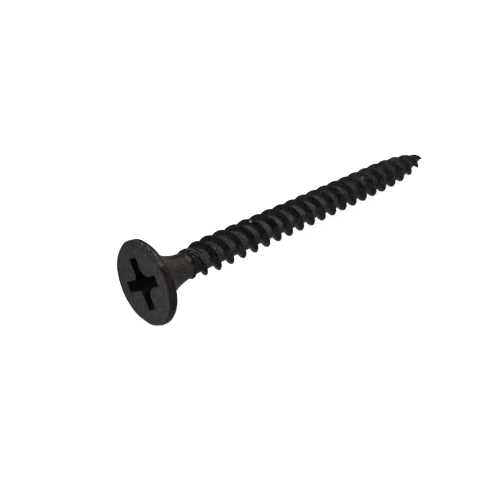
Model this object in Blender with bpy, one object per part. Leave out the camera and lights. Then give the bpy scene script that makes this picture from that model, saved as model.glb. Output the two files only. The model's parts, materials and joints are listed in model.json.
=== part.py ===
"""Drywall screw, 3.5 x 40 mm: bugle head with a flat face and a cross recess, and a twin-start thread.

It is one piece of wire, headed, rolled and pointed. It is modelled along its own X axis, from the face of
the head at x = 0 to the point, and then laid down as it comes to rest on a surface: on the rim of the head
and on the thread near the point.
"""

import math

import bmesh
import bpy
from mathutils import Vector

# Lengths along the screw, in metres, measured from the face of the head
OVERALL_LENGTH = 0.0400
RIM_THICKNESS = 0.00062
NECK_START = 0.0048
NECK_LENGTH = 0.00042
LIP_RISE_LENGTH = 0.00012
LIP_LENGTH = 0.00004
LIP_STEP_LENGTH = 0.00010
THREAD_RUN_IN = 0.0019
ROOT_RUN_IN = 0.0110
CREST_TAPER_LENGTH = 0.0080
POINT_LENGTH = 0.0042
NECK_END = NECK_START + NECK_LENGTH
THREAD_START = NECK_END + LIP_STEP_LENGTH

# Diameters, in metres
HEAD_DIAMETER = 0.0082
NECK_DIAMETER = 0.0026
LIP_DIAMETER = 0.00292
THREAD_DIAMETER = 0.00358
THREAD_DIAMETER_NEAR_POINT = 0.0032
ROOT_DIAMETER_AT_START = 0.00238
ROOT_DIAMETER = 0.00218

# Edges of the head, in metres
FACE_EDGE_ROUNDING = 0.00028
RIM_BACK_ROUNDING = 0.00008

# Thread: two starts, right hand, with the steeper flank towards the point
STARTS = 2
CREST_SPACING = 0.00161
CREST_FLAT = 0.00010
HEAD_SIDE_FLANK = 0.00035
POINT_SIDE_FLANK = 0.00026
THREAD_TURN = math.radians(195.4)
POINT_FULLNESS = 0.85

# Cross recess, in metres, with its wings turned about the axis from level
RECESS_WINGS = 4
RECESS_DEPTH = 0.0026
RECESS_TIP_DEPTH = 0.0004
RECESS_OVERCUT = 0.0005
WING_REACH = 0.00248
WING_REACH_AT_FLOOR = 0.00095
WING_WIDTH = 0.00104
WING_WIDTH_AT_FLOOR = 0.00080
WEB_REACH = 0.00105
WEB_REACH_AT_FLOOR = 0.00072
RECESS_TURN = math.radians(54.5)

# Fineness of the mesh
SIDES = 32
EDGE_STEPS = 3
FLARE_STEPS = 9
FLARE_CROWDING = 1.6
WEB_STEPS = 4
SMALLEST_STEP = 0.00003
MERGE_DISTANCE = 0.000001
SHARP_ANGLE = math.radians(28.0)
RESTING_STEPS = 400


def clear_scene():
    """Removes every object that the scene starts with."""
    for obj in list(bpy.data.objects):
        bpy.data.objects.remove(obj, do_unlink=True)


def black_phosphate():
    """Dull dark grey finish of phosphated steel."""
    material = bpy.data.materials.new("black_phosphate")
    material.use_nodes = True
    shader = material.node_tree.nodes["Principled BSDF"]
    shader.inputs["Base Color"].default_value = (0.035, 0.034, 0.033, 1.0)
    shader.inputs["Roughness"].default_value = 0.55
    shader.inputs["Metallic"].default_value = 0.6
    return material


def around(x, radius, angle):
    """Point at a distance along the axis, a distance out from it and an angle about it."""
    return Vector((x, radius * math.cos(angle), radius * math.sin(angle)))


def side_angle(side):
    return 2.0 * math.pi * side / SIDES


def smooth_step(share):
    share = min(max(share, 0.0), 1.0)
    return share * share * (3.0 - 2.0 * share)


def corner(centre_x, centre_radius, size, first_angle, last_angle):
    """Points of a rounded edge of the turned profile, as (x, radius)."""
    points = []
    for step in range(EDGE_STEPS + 1):
        angle = first_angle + (last_angle - first_angle) * step / EDGE_STEPS
        points.append((centre_x - size * math.cos(angle), centre_radius + size * math.sin(angle)))
    return points


def flare_radius(x):
    """Radius of the bugle under the rim: one arc, tangent to the neck, that ends on the rim."""
    drop = (HEAD_DIAMETER - NECK_DIAMETER) / 2.0 - RIM_BACK_ROUNDING
    run = NECK_START - RIM_THICKNESS
    arc = (run * run + drop * drop) / (2.0 * drop)
    reach = NECK_START - x
    return NECK_DIAMETER / 2.0 + arc - math.sqrt(arc * arc - reach * reach)


def head_profile():
    """Turned profile from the edge of the face, past the lip that ends the neck, as (x, radius)."""
    rim = HEAD_DIAMETER / 2.0
    edge = FACE_EDGE_ROUNDING
    back = RIM_BACK_ROUNDING
    profile = corner(edge, rim - edge, edge, 0.0, math.pi / 2.0)
    profile += corner(RIM_THICKNESS - back, rim - back, back, math.pi / 2.0, math.pi)
    for step in range(1, FLARE_STEPS + 1):
        # Steps are shorter near the rim, where the arc is steepest
        share = (step / FLARE_STEPS) ** FLARE_CROWDING
        x = RIM_THICKNESS + (NECK_START - RIM_THICKNESS) * share
        profile.append((x, flare_radius(x)))
    lip_start = NECK_END - LIP_LENGTH
    profile.append((lip_start - LIP_RISE_LENGTH, NECK_DIAMETER / 2.0))
    profile.append((lip_start, LIP_DIAMETER / 2.0))
    profile.append((NECK_END, LIP_DIAMETER / 2.0))
    profile.append((THREAD_START, ROOT_DIAMETER_AT_START / 2.0))
    return profile


def root_radius(x):
    """Radius between the crests: it thins a little along the first turns, and runs to a point."""
    share = min(max((x - THREAD_START) / ROOT_RUN_IN, 0.0), 1.0)
    thinned = (ROOT_DIAMETER_AT_START + (ROOT_DIAMETER - ROOT_DIAMETER_AT_START) * share) / 2.0
    to_point = min((OVERALL_LENGTH - x) / POINT_LENGTH, 1.0)
    return thinned * max(to_point, 0.0) ** POINT_FULLNESS


def crest_radius(x):
    """Radius of the crests: full under the head, a little less near the point, and none at it."""
    taper_start = OVERALL_LENGTH - CREST_TAPER_LENGTH
    along = min((x - THREAD_START) / (taper_start - THREAD_START), 1.0)
    full = (THREAD_DIAMETER + (THREAD_DIAMETER_NEAR_POINT - THREAD_DIAMETER) * along) / 2.0
    into_taper = min(max((x - taper_start) / CREST_TAPER_LENGTH, 0.0), 1.0)
    rounded_off = full * math.sqrt(1.0 - into_taper * into_taper)
    run_in = smooth_step((x - THREAD_START) / THREAD_RUN_IN)
    root = root_radius(x)
    return root + max(rounded_off - root, 0.0) * run_in


def thread_rows():
    """One pitch of the thread's profile, as (distance past the crest, whether it is on the crest)."""
    half_flat = CREST_FLAT / 2.0
    return (
        (-half_flat - HEAD_SIDE_FLANK, False),
        (-half_flat, True),
        (half_flat, True),
        (half_flat + POINT_SIDE_FLANK, False),
    )


def add_thread(mesh, start_ring):
    """Threaded length and point, as a strip whose rows follow the helix.

    A row runs round the screw and climbs with it, so that every crest and every root is a line of the mesh.
    Past either end of the thread a row collapses on its first ring or on the point.
    """
    rows = thread_rows()
    lead = CREST_SPACING * STARTS
    first_crest = THREAD_START - lead - CREST_SPACING
    first_crest -= (first_crest + lead * THREAD_TURN / (2.0 * math.pi)) % CREST_SPACING
    pitches = math.ceil((OVERALL_LENGTH - first_crest) / CREST_SPACING) + 1
    point = mesh.verts.new(around(OVERALL_LENGTH, 0.0, 0.0))

    def vertex(pitch, row, side):
        past_crest, on_crest = rows[row]
        x = first_crest + pitch * CREST_SPACING + lead * side / SIDES + past_crest
        if x < THREAD_START + SMALLEST_STEP:
            return start_ring[side]
        if x > OVERALL_LENGTH - SMALLEST_STEP:
            return point
        radius = crest_radius(x) if on_crest else root_radius(x)
        return mesh.verts.new(around(x, radius, side_angle(side)))

    grid = []
    for pitch in range(pitches):
        for row in range(len(rows)):
            grid.append([vertex(pitch, row, side) for side in range(SIDES)])
    climb = STARTS * len(rows)
    for row in range(-climb, len(grid) - 1):
        for side in range(SIDES):
            corners = []
            for down, along in ((0, 0), (1, 0), (1, 1), (0, 1)):
                past_seam, wrapped = divmod(side + along, SIDES)
                index = min(max(row + down + past_seam * climb, 0), len(grid) - 1)
                vert = grid[index][wrapped]
                if vert not in corners:
                    corners.append(vert)
            if len(corners) > 2 and mesh.faces.get(corners) is None:
                mesh.faces.new(corners)


def screw_mesh():
    """Head, neck, thread and point as one closed surface."""
    mesh = bmesh.new()
    rings = []
    for x, radius in head_profile():
        rings.append([mesh.verts.new(around(x, radius, side_angle(side))) for side in range(SIDES)])
    mesh.faces.new(rings[0])
    for ring, following in zip(rings, rings[1:]):
        for side in range(SIDES):
            beside = (side + 1) % SIDES
            mesh.faces.new((ring[side], following[side], following[beside], ring[beside]))
    add_thread(mesh, rings[-1])
    bmesh.ops.remove_doubles(mesh, verts=mesh.verts, dist=MERGE_DISTANCE)
    bmesh.ops.recalc_face_normals(mesh, faces=mesh.faces)
    return mesh


def recess_outline(depth_share):
    """Outline of the cross recess, from its mouth at 0 to its floor at 1, as (distance out, angle)."""
    reach = WING_REACH + (WING_REACH_AT_FLOOR - WING_REACH) * depth_share
    half_width = (WING_WIDTH + (WING_WIDTH_AT_FLOOR - WING_WIDTH) * depth_share) / 2.0
    web = WEB_REACH + (WEB_REACH_AT_FLOOR - WEB_REACH) * depth_share
    quarter = math.pi / RECESS_WINGS
    # The web between two wings is an arc that meets both wings where it leaves their sides
    arc_radius = (web - half_width * math.sqrt(2.0)) / (math.sqrt(2.0) - 1.0)
    arc_centre = web + arc_radius
    outline = []
    for wing in range(RECESS_WINGS):
        middle = RECESS_TURN + 2.0 * wing * quarter
        wing_corner = math.atan2(half_width, reach)
        corner_reach = math.hypot(half_width, reach)
        outline.append((corner_reach, middle - wing_corner))
        outline.append((corner_reach, middle + wing_corner))
        for step in range(WEB_STEPS + 1):
            turn = quarter * (1.0 - 2.0 * step / WEB_STEPS)
            along = arc_centre - arc_radius * math.cos(turn)
            aside = -arc_radius * math.sin(turn)
            outline.append((math.hypot(along, aside), middle + quarter + math.atan2(aside, along)))
    return outline


def recess_cutter():
    """The space of the recess: it starts in front of the face and tapers to a floor with a blunt tip."""
    mesh = bmesh.new()
    rings = []
    for x in (-RECESS_OVERCUT, 0.0, RECESS_DEPTH):
        depth_share = x / RECESS_DEPTH
        rings.append([mesh.verts.new(around(x, out, angle)) for out, angle in recess_outline(depth_share)])
    tip = mesh.verts.new(around(RECESS_DEPTH + RECESS_TIP_DEPTH, 0.0, 0.0))
    count = len(rings[0])
    mesh.faces.new(rings[0])
    for index in range(count):
        beside = (index + 1) % count
        for ring, following in zip(rings, rings[1:]):
            mesh.faces.new((ring[index], following[index], following[beside], ring[beside]))
        mesh.faces.new((rings[-1][index], tip, rings[-1][beside]))
    bmesh.ops.recalc_face_normals(mesh, faces=mesh.faces)
    return mesh


def add_object(name, mesh):
    """Makes an object of the built mesh, with its scene link."""
    data = bpy.data.meshes.new(name)
    mesh.to_mesh(data)
    mesh.free()
    data.shade_smooth()
    data.set_sharp_from_angle(angle=SHARP_ANGLE)
    obj = bpy.data.objects.new(name, data)
    bpy.context.scene.collection.objects.link(obj)
    return obj


def resting_slope():
    """Angle by which the screw, lying on its rim and its thread, points down."""
    rim = HEAD_DIAMETER / 2.0
    slope = math.pi / 2.0
    for step in range(1, RESTING_STEPS):
        x = THREAD_START + (OVERALL_LENGTH - THREAD_START) * step / RESTING_STEPS
        slope = min(slope, math.atan2(rim - crest_radius(x), x - RIM_THICKNESS))
    return slope


def lay_down(obj):
    """Tilts the screw to its resting slope and sets it on z = 0, centred on the origin seen from above."""
    obj.rotation_euler = (0.0, resting_slope(), 0.0)
    turned = obj.rotation_euler.to_matrix()
    places = [turned @ vert.co for vert in obj.data.vertices]
    lows = [min(place[axis] for place in places) for axis in range(3)]
    highs = [max(place[axis] for place in places) for axis in range(3)]
    obj.location = (-(lows[0] + highs[0]) / 2.0, -(lows[1] + highs[1]) / 2.0, -lows[2])


def main():
    clear_scene()
    screw = add_object("screw", screw_mesh())
    screw.data.materials.append(black_phosphate())

    cutter = add_object("recess_cutter", recess_cutter())
    cutter.hide_render = True
    cutter.display_type = "WIRE"
    cutter.parent = screw

    recess = screw.modifiers.new("cross_recess", "BOOLEAN")
    recess.operation = "DIFFERENCE"
    recess.solver = "EXACT"
    recess.object = cutter

    lay_down(screw)


main()
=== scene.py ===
# %% [markdown]
# # A black drywall screw
# The real object is 40 mm of hardened steel wire. One end is struck into a bugle head with a cross recess,
# the rest is rolled between dies into a twin-start thread, and the tip is pinched to a point. A bath of
# phosphate turns it dull black.
#
# The solid model already fixes its place and its size. This script makes the surface that a camera sees: a
# finer mesh of the same form, with its finish, on a pale floor under soft light.

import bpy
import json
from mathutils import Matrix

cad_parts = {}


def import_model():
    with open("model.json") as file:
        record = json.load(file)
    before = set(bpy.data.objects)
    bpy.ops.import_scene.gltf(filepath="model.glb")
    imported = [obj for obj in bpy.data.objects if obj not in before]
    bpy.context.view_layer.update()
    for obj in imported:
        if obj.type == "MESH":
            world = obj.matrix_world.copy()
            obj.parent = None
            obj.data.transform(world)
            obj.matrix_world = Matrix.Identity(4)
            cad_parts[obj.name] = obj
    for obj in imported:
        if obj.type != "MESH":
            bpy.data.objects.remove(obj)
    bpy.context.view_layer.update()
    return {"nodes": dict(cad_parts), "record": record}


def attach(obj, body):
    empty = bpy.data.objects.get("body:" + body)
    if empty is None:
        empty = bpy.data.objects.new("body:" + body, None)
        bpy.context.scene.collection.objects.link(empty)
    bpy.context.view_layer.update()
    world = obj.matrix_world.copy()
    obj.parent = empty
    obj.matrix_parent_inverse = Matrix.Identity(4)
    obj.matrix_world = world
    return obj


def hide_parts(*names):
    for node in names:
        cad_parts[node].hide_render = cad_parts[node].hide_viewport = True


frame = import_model()

# %% Blender's own modules
import json
import math

import bmesh
import bpy
from mathutils import Matrix, Vector

MM = 0.001
FULL_TURN = 2.0 * math.pi
print("Blender", bpy.app.version_string)

# %% [markdown]
# ## Where the screw lies
# A screw rests on the rim of its head and on its thread, so its axis slopes down to the point. The record's
# mount on the face of the head gives that direction, and the farthest corner of the solid is the point.
# With both, every part below can be made along a straight X axis, from the face at 0, and laid down at the
# end.

# %% Axis of the screw
LENGTH = 40.0 * MM

face_mount = frame["record"]["mounts"][0]
AXIS = -Vector(face_mount["axis"]).normalized()
LEVEL = Vector((0.0, 1.0, 0.0))
point = max((vert.co.copy() for vert in frame["nodes"]["screw"].data.vertices), key=lambda place: place.x)
FACE_CENTRE = point - AXIS * LENGTH
SLOPE = math.atan2(-AXIS.z, AXIS.x)
LAY_DOWN = Matrix.Translation(FACE_CENTRE) @ Matrix.Rotation(SLOPE, 4, LEVEL)
print("Slope of the axis:", round(math.degrees(SLOPE), 2), "degrees")

# %% [markdown]
# ## The camera
# The photograph looks down on the head from the front left, from about a hand's width away, so the point is
# visibly smaller than the head. A focal length and a distance reproduce that. The camera has no roll and no
# shift: it is turned to its azimuth and elevation, and then moved until the middle of the face falls on the
# pixel where the photograph has it.

# %% Camera at the photograph's viewing angle
IMAGE_SIDE = 500
FACE_PIXEL = (143.1, 284.4)
CAMERA_AZIMUTH = math.radians(-43.45)
CAMERA_ELEVATION = math.radians(35.57)
CAMERA_DISTANCE = 93.7 * MM
NEAREST_SEEN = 1.0 * MM
FARTHEST_SEEN = 10.0
LENS = 74.4
SENSOR = 36.0


def add_camera():
    """Camera whose image has the middle of the face on its pixel."""
    away = Vector((
        math.sin(CAMERA_AZIMUTH) * math.cos(CAMERA_ELEVATION),
        -math.cos(CAMERA_AZIMUTH) * math.cos(CAMERA_ELEVATION),
        math.sin(CAMERA_ELEVATION),
    ))
    turn = (-away).to_track_quat("-Z", "Y")
    pixels_per_radian = LENS / SENSOR * IMAGE_SIDE
    across = (FACE_PIXEL[0] - IMAGE_SIDE / 2.0) / pixels_per_radian
    down = (FACE_PIXEL[1] - IMAGE_SIDE / 2.0) / pixels_per_radian
    sight_line = turn @ Vector((across, -down, -1.0)).normalized()

    lens = bpy.data.cameras.new("camera")
    lens.lens = LENS
    lens.sensor_width = SENSOR
    lens.clip_start = NEAREST_SEEN
    lens.clip_end = FARTHEST_SEEN
    camera = bpy.data.objects.new("camera", lens)
    camera.rotation_mode = "QUATERNION"
    camera.rotation_quaternion = turn
    camera.location = FACE_CENTRE - sight_line * CAMERA_DISTANCE
    bpy.context.scene.collection.objects.link(camera)
    bpy.context.scene.camera = camera
    return camera


camera = add_camera()
print("Camera at", [round(value, 4) for value in camera.location])

# %% [markdown]
# ## The head, ring by ring
# The head is round, so a lathe profile gives its rim and its flare. The recess isn't round, though. A
# Boolean cut would leave long thin triangles on the face, and they shade badly. Here the whole head is one
# skin of rings instead. Each ring has the same number of columns, from the bottom of the recess, up its
# walls, across the face, over the rim and down the flare to the neck. Across the face the rings change
# shape from the cross to the circle. Each ring also carries how much of each zone it belongs to, and the
# finish reads that later.

# %% Rings and the values that ride on them
COLUMNS = 160
ZONES = ("recess", "face", "rim", "edge", "flare", "neck")


def ring_of(x, outline, **zones):
    """A ring at one distance along the axis, with how much of each zone it belongs to."""
    return {"places": [Vector((x, across, up)) for across, up in outline], "zones": zones}


def circle(radius):
    """Outline of a round ring, with a corner for each column."""
    angles = [FULL_TURN * column / COLUMNS for column in range(COLUMNS)]
    return [(radius * math.cos(angle), radius * math.sin(angle)) for angle in angles]


def blend(start, end, share):
    return start + (end - start) * share


print("Columns in each ring:", COLUMNS)

# %% [markdown]
# ## The cross recess
# A driver bit seats in four wings that taper towards the bottom, with a rounded web between each two of
# them. One quarter of the outline is half an end wall, a corner, a side and half a web, and then the same
# mirrored. Its steps are counted so that four quarters use every column once. Making the outline wider all
# round, for the rounded mouth, only adds the same amount to the reach, the half width and the web.

# %% Sizes of the recess
RECESS_DEPTH = 2.6 * MM
RECESS_TIP_DEPTH = 0.4 * MM
WING_REACHES = (2.52 * MM, 2.42 * MM, 2.52 * MM, 2.42 * MM)
WING_REACH_AT_FLOOR = 0.95 * MM
WING_WIDTH = 1.04 * MM
WING_WIDTH_AT_FLOOR = 0.80 * MM
WEB_REACHES = (1.12 * MM, 1.15 * MM, 0.90 * MM, 0.95 * MM)
WEB_REACH_AT_FLOOR = 0.66 * MM
WING_CORNER = 0.09 * MM
RECESS_TURN = math.radians(54.5)
RECESS_CENTRE = (0.11 * MM, -0.06 * MM)
END_STEPS, CORNER_STEPS, SIDE_STEPS, WEB_STEPS = 4, 3, 7, 6
QUARTER = COLUMNS // 4
print("Columns of a quarter:", 2 * (END_STEPS + CORNER_STEPS + SIDE_STEPS + WEB_STEPS), "of", QUARTER)


# %% Outline of the recess at any depth
def half_wing(reach, half_width, web, corner):
    """Points from the middle of a wing's end to the middle of the web beside it, as (along, aside)."""
    arc = (web - half_width * math.sqrt(2.0)) / (math.sqrt(2.0) - 1.0)
    centre = (web + arc) / math.sqrt(2.0)
    points = [(reach, (half_width - corner) * step / END_STEPS) for step in range(END_STEPS)]
    for step in range(CORNER_STEPS):
        angle = math.pi / 2.0 * step / CORNER_STEPS
        points.append((
            reach - corner + corner * math.cos(angle),
            half_width - corner + corner * math.sin(angle),
        ))
    for step in range(SIDE_STEPS):
        points.append((blend(reach - corner, centre, step / SIDE_STEPS), half_width))
    for step in range(WEB_STEPS + 1):
        angle = -math.pi / 2.0 - math.pi / 4.0 * step / WEB_STEPS
        points.append((centre + arc * math.cos(angle), centre + arc * math.sin(angle)))
    return points


def recess_outline(depth, wider=0.0):
    """Outline of the recess at a depth, made wider all round by the last value."""
    share = depth / RECESS_DEPTH
    half_width = blend(WING_WIDTH, WING_WIDTH_AT_FLOOR, share) / 2.0 + wider
    first_column = round((RECESS_TURN - math.pi / 4.0) / FULL_TURN * COLUMNS)
    outline = [None] * COLUMNS
    for wing, full_reach in enumerate(WING_REACHES):
        reach = blend(full_reach, WING_REACH_AT_FLOOR, share) + wider
        before_wing, after_wing = (
            half_wing(reach, half_width, blend(web, WEB_REACH_AT_FLOOR, share) + wider, WING_CORNER + wider)
            for web in (WEB_REACHES[wing - 1], WEB_REACHES[wing])
        )
        quarter = [(along, -aside) for along, aside in reversed(before_wing[1:])] + after_wing[:-1]
        turn = RECESS_TURN + FULL_TURN * wing / 4.0
        for step, (along, aside) in enumerate(quarter):
            column = (first_column + wing * QUARTER + step) % COLUMNS
            outline[column] = (
                RECESS_CENTRE[0] + along * math.cos(turn) - aside * math.sin(turn),
                RECESS_CENTRE[1] + along * math.sin(turn) + aside * math.cos(turn),
            )
    return outline


print("Recess outline:", len(recess_outline(0.0)), "points, one for each of", COLUMNS, "columns")

# %% [markdown]
# ### Walls and mouth of the recess
# The punch leaves a small conical tip at the bottom, tapered walls, and a mouth that is pulled in slightly
# where the metal followed it. A sharp mouth would look cut out of paper, so a few rings turn the wall into
# the face over a quarter circle. On the way the zone changes from recess to face.

# %% Rings of the recess, from its tip to its rounded mouth
FLOOR_RINGS = 3
WALL_RINGS = 16
MOUTH_RINGS = 4
MOUTH_ROUNDING = 0.045 * MM


def shrunk_floor(share):
    """The outline of the floor, drawn in towards the middle of the recess."""
    return [
        (blend(RECESS_CENTRE[0], across, share), blend(RECESS_CENTRE[1], up, share))
        for across, up in recess_outline(RECESS_DEPTH)
    ]


def recess_rings():
    rings = []
    for step in range(1, FLOOR_RINGS):
        share = step / FLOOR_RINGS
        depth = RECESS_DEPTH + RECESS_TIP_DEPTH * (1.0 - share)
        rings.append(ring_of(depth, shrunk_floor(share), recess=1.0))
    for step in range(WALL_RINGS):
        depth = blend(RECESS_DEPTH, MOUTH_ROUNDING, step / WALL_RINGS)
        rings.append(ring_of(depth, recess_outline(depth), recess=1.0))
    for step in range(MOUTH_RINGS + 1):
        angle = math.pi / 2.0 * (1.0 - step / MOUTH_RINGS)
        depth = MOUTH_ROUNDING * (1.0 - math.cos(angle))
        wider = MOUTH_ROUNDING * (1.0 - math.sin(angle))
        inside = math.sin(angle)
        rings.append(ring_of(depth, recess_outline(depth, wider), recess=inside, face=1.0 - inside))
    return rings


print("Rings in the recess:", len(recess_rings()))

# %% [markdown]
# ## Face, rim and flare
# The face is flat and its edge is rounded by the die. Behind the thin rim the bugle flare is one arc that
# runs out along the neck, so the screw sinks into the board without tearing the paper. The neck ends in a
# low lip with a step behind it, where the thread rolling stopped.

# %% Sizes of the head and the neck
HEAD_DIAMETER = 8.2 * MM
FACE_EDGE_ROUNDING = 0.28 * MM
RIM_THICKNESS = 0.62 * MM
RIM_BACK_ROUNDING = 0.08 * MM
NECK_DIAMETER = 2.60 * MM
NECK_START = 4.8 * MM
LIP_START = 5.06 * MM
LIP_DIAMETER = 2.92 * MM
NECK_END = 5.22 * MM
LIP_ROUNDING = 0.04 * MM
STEP_LENGTH = 0.10 * MM
THREAD_START = NECK_END + STEP_LENGTH
THREAD_START_DIAMETER = 2.38 * MM
print("Neck as a share of the head:", round(NECK_DIAMETER / HEAD_DIAMETER, 3))

# %% [markdown]
# ### High and low places of the rim
# A struck head isn't as round as a turned one. The metal flows out farther on some sides, by about a tenth
# of a millimetre, and that shows in the outline. Noise would spread it evenly, so a short list gives each
# high or low place its side, its reach and its height. The side is an angle about the axis: 0 is +Y and 90
# is up.

# %% Rings that aren't quite round
RIM_SWELLS = (
    (46.0, 10.0, 0.10 * MM),
    (70.0, 12.0, 0.11 * MM),
    (94.0, 16.0, 0.05 * MM),
    (168.0, 20.0, 0.07 * MM),
    (224.0, 12.0, 0.03 * MM),
    (255.0, 11.0, 0.085 * MM),
    (290.0, 16.0, 0.05 * MM),
    (335.0, 12.0, -0.04 * MM),
)
FLARE_SWELL = (190.0, 35.0, 0.14 * MM)


def swell_at(angle, swell):
    """Height of a swell at an angle. Its middle and its reach are in degrees."""
    middle, reach, height = swell
    away = (angle - math.radians(middle) + math.pi) % FULL_TURN - math.pi
    return height * math.exp(-(away / math.radians(reach)) ** 2)


def out_of_round(radius, rim_share=1.0, flare_share=0.0):
    """A ring with the high and low places of the rim and of the flare, or with a share of them."""
    outline = []
    for column in range(COLUMNS):
        angle = FULL_TURN * column / COLUMNS
        uneven = radius + rim_share * sum(swell_at(angle, swell) for swell in RIM_SWELLS)
        uneven += flare_share * swell_at(angle, FLARE_SWELL)
        outline.append((uneven * math.cos(angle), uneven * math.sin(angle)))
    return outline


rim_radii = [math.hypot(*place) for place in out_of_round(HEAD_DIAMETER / 2.0)]
print("Radius of the rim, in mm:", round(min(rim_radii) / MM, 2), "to", round(max(rim_radii) / MM, 2))

# %% [markdown]
# ### The face and the rim
# The die rounds the front edge of the rim widely and leaves its back edge nearly sharp. Both are quarter
# circles, worked out step by step. A Bevel modifier would round them too, but it would also round the mouth
# of the recess, and it wouldn't carry the zones on. The flat face has rings of its own only to change shape
# from the cross to the circle.

# %% Rings of the face and the rim
FACE_RINGS = 18
EDGE_STEPS = 7
RIM_STEPS = 4


def face_rings():
    """From the mouth of the recess to the start of the rounded edge, changing from the cross to a circle."""
    mouth = recess_outline(0.0, MOUTH_ROUNDING)
    edge = out_of_round(HEAD_DIAMETER / 2.0 - FACE_EDGE_ROUNDING)
    rings = []
    for step in range(1, FACE_RINGS):
        share = step / FACE_RINGS
        outline = [
            (blend(start[0], end[0], share), blend(start[1], end[1], share))
            for start, end in zip(mouth, edge)
        ]
        rings.append(ring_of(0.0, outline, face=1.0))
    return rings


def rim_rings():
    """Over the rounded edge of the face, along the rim and over its sharp back edge."""
    rim = HEAD_DIAMETER / 2.0
    rings = []
    for step in range(EDGE_STEPS + 1):
        angle = math.pi / 2.0 * step / EDGE_STEPS
        x = FACE_EDGE_ROUNDING * (1.0 - math.cos(angle))
        outline = out_of_round(rim - FACE_EDGE_ROUNDING * (1.0 - math.sin(angle)))
        share = step / EDGE_STEPS
        rings.append(ring_of(x, outline, face=1.0 - share, edge=math.sin(math.pi * share), rim=share))
    for step in range(1, RIM_STEPS):
        x = blend(FACE_EDGE_ROUNDING, RIM_THICKNESS - RIM_BACK_ROUNDING, step / RIM_STEPS)
        rings.append(ring_of(x, out_of_round(rim), rim=1.0))
    for step in range(EDGE_STEPS + 1):
        angle = math.pi / 2.0 * step / EDGE_STEPS
        x = RIM_THICKNESS - RIM_BACK_ROUNDING * (1.0 - math.sin(angle))
        outline = out_of_round(rim - RIM_BACK_ROUNDING * (1.0 - math.cos(angle)))
        share = step / EDGE_STEPS
        rings.append(ring_of(x, outline, rim=1.0 - share, edge=math.sin(math.pi * share), flare=share))
    return rings


print("Rings in the face and the rim:", len(face_rings() + rim_rings()))

# %% [markdown]
# ### The flare
# The curve of a bugle head is close to one arc that ends level with the neck. Two lengths and the wish for
# no bend give its radius, so nothing has to be drawn. The rings lie closer together near the rim, where the
# surface turns fastest. The rim's high places fade out on the way, and one side of the flare is a little
# full.

# %% Rings of the flare
FLARE_STEPS = 34
FLARE_CROWDING = 1.6
RIM_SWELL_FADE = 0.25
FLARE_SWELL_DELAY = 2.5


def flare_radius(x):
    """One arc from the back of the rim that meets the neck without a bend."""
    drop = (HEAD_DIAMETER - NECK_DIAMETER) / 2.0 - RIM_BACK_ROUNDING
    run = NECK_START - RIM_THICKNESS
    arc = (run * run + drop * drop) / (2.0 * drop)
    reach = NECK_START - x
    return NECK_DIAMETER / 2.0 + arc - math.sqrt(arc * arc - reach * reach)


def flare_rings():
    rings = []
    for step in range(1, FLARE_STEPS + 1):
        share = (step / FLARE_STEPS) ** FLARE_CROWDING
        x = blend(RIM_THICKNESS, NECK_START, share)
        fading = max(1.0 - share / RIM_SWELL_FADE, 0.0)
        full = math.sin(math.pi * share ** FLARE_SWELL_DELAY)
        rings.append(ring_of(x, out_of_round(flare_radius(x), fading, full), flare=1.0 - share, neck=share))
    return rings


half_way = (RIM_THICKNESS + NECK_START) / 2.0
print("Radius half way down the flare:", round(flare_radius(half_way) / MM, 2), "mm")

# %% [markdown]
# ### The neck and its lip
# The dies can't roll right up to the flare. They stop against the wire and push up a low lip, and behind it
# the wire is squeezed thinner. Both are round, so a few plain circles make them.

# %% Rings of the neck
NECK_STEPS = 8
STEP_RINGS = 5
LIP_STEEPNESS = 1.2
LIP_EDGE = 0.6


def smooth_step(share):
    share = min(max(share, 0.0), 1.0)
    return share * share * (3.0 - 2.0 * share)


def neck_rings():
    """Along the neck, over its lip and down the step to where the thread starts."""
    rings = []
    lip = LIP_DIAMETER / 2.0
    for step in range(1, NECK_STEPS + 1):
        x = blend(NECK_START, NECK_END - LIP_ROUNDING, step / NECK_STEPS)
        swell = smooth_step((x - LIP_START) / (NECK_END - LIP_ROUNDING - LIP_START) * LIP_STEEPNESS)
        rings.append(ring_of(x, circle(blend(NECK_DIAMETER / 2.0, lip, swell)), neck=1.0))
    rings.append(ring_of(NECK_END, circle(lip - LIP_ROUNDING / 2.0), neck=1.0, edge=LIP_EDGE))
    for step in range(1, STEP_RINGS + 1):
        share = step / STEP_RINGS
        radius = blend(lip - LIP_ROUNDING, THREAD_START_DIAMETER / 2.0, smooth_step(share))
        rings.append(ring_of(blend(NECK_END, THREAD_START, share), circle(radius), neck=1.0 - share))
    return rings


head_rings = recess_rings() + face_rings() + rim_rings() + flare_rings() + neck_rings()
print("Rings in the head and the neck:", len(head_rings))

# %% [markdown]
# ### One skin over the rings
# Neighbouring rings are joined column by column with four-sided faces, and a fan closes the tip of the
# recess. The skin stays open at the neck, because the thread's tree joins its own surface there. BMesh is
# used because it can store the zones on the corners while it makes them.

# %% Skin the rings
def head_mesh(rings):
    """One skin over the rings, closed at the tip of the recess and open at the neck."""
    mesh = bmesh.new()
    layers = {name: mesh.verts.layers.float.new(name) for name in ZONES}
    tip = mesh.verts.new((RECESS_DEPTH + RECESS_TIP_DEPTH, *RECESS_CENTRE))
    tip[layers["recess"]] = 1.0
    corners = []
    for ring in rings:
        corners.append([mesh.verts.new(place) for place in ring["places"]])
        for name, value in ring["zones"].items():
            for vert in corners[-1]:
                vert[layers[name]] = value
    for column in range(COLUMNS):
        beside = (column + 1) % COLUMNS
        mesh.faces.new((tip, corners[0][beside], corners[0][column]))
        for ring, following in zip(corners, corners[1:]):
            mesh.faces.new((ring[column], ring[beside], following[beside], following[column]))
    data = bpy.data.meshes.new("head")
    mesh.to_mesh(data)
    mesh.free()
    return data


screw = bpy.data.objects.new("rolled_screw", head_mesh(head_rings))
bpy.context.scene.collection.objects.link(screw)
print("Corners in the head:", len(screw.data.vertices))

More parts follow.
